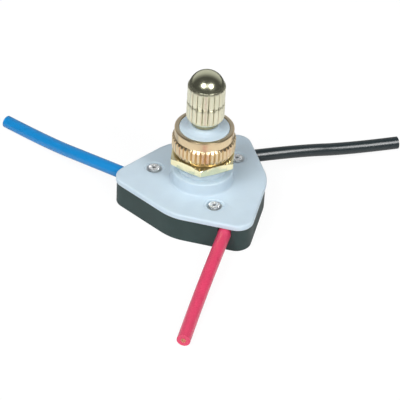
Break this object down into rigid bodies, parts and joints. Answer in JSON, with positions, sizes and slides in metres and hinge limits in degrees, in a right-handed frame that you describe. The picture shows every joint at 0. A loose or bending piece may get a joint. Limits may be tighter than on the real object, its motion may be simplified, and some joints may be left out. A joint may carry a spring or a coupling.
{
  "type": "rotary switch",
  "caption": "Rotary switch with a fluted knob on a threaded bushing, a hexagon nut, a knurled ring nut, a flat three-cornered housing and wire leads.",
  "frame": {"origin": "on the shaft's axis at the underside of the housing", "axes": "+Z along the shaft towards the knob; +Y away from the viewer of the picture, +X to its right"},
  "size_m": [0.0862, 0.0692, 0.033],
  "materials": {
    "base_moulding": "moulded phenolic, satin",
    "cover_moulding": "moulded nylon, semi gloss",
    "rivet_metal": "bright plated",
    "nut_brass": "pale bright brass",
    "ring_brass": "warm turned brass",
    "knob_brass": "polished pale brass",
    "shaft_steel": "turned",
    "rotor_moulding": "moulded phenolic, satin",
    "copper": "rolled copper strip",
    "terminal_brass": "stamped",
    "silver": "silver contact tips",
    "spring_steel": "rolled strip",
    "blue_vinyl": "extruded vinyl",
    "red_vinyl": "extruded vinyl",
    "black_vinyl": "extruded vinyl"
  },
  "bodies": {
    "housing": {"base_tray": "base_moulding", "cover": "cover_moulding", "rivets": "rivet_metal", "detent_springs": "spring_steel", "contact_tips": "silver", "blue_lead": "blue_vinyl", "blue_lead_root": "blue_vinyl", "blue_strands": "copper", "blue_terminal": "terminal_brass", "red_lead": "red_vinyl", "red_lead_root": "red_vinyl", "red_strands": "copper", "red_terminal": "terminal_brass", "black_lead": "black_vinyl", "black_lead_root": "black_vinyl", "black_strands": "copper", "black_terminal": "terminal_brass"},
    "knob_and_rotor": {"knob": "knob_brass", "shaft": "shaft_steel", "thrust_washer": "spring_steel", "rotor": "rotor_moulding", "contact_plate": "copper"},
    "hex_nut": {"hex_nut": "nut_brass"},
    "ring_nut": {"ring_nut": "ring_brass"}
  },
  "joints": [
    {"name": "knob_turn", "type": "hinge", "parent": "housing", "child": "knob_and_rotor", "pos_m": [0, 0, 0], "axis": [0, 0, 1], "continuous": true, "deforming": ["detent_springs"]},
    {"name": "hex_nut_turn", "type": "hinge", "parent": "housing", "child": "hex_nut", "pos_m": [0, 0, 0], "axis": [0, 0, 1], "continuous": true},
    {"name": "ring_nut_turn", "type": "hinge", "parent": "housing", "child": "ring_nut", "pos_m": [0, 0, 0], "axis": [0, 0, 1], "continuous": true}
  ]
}
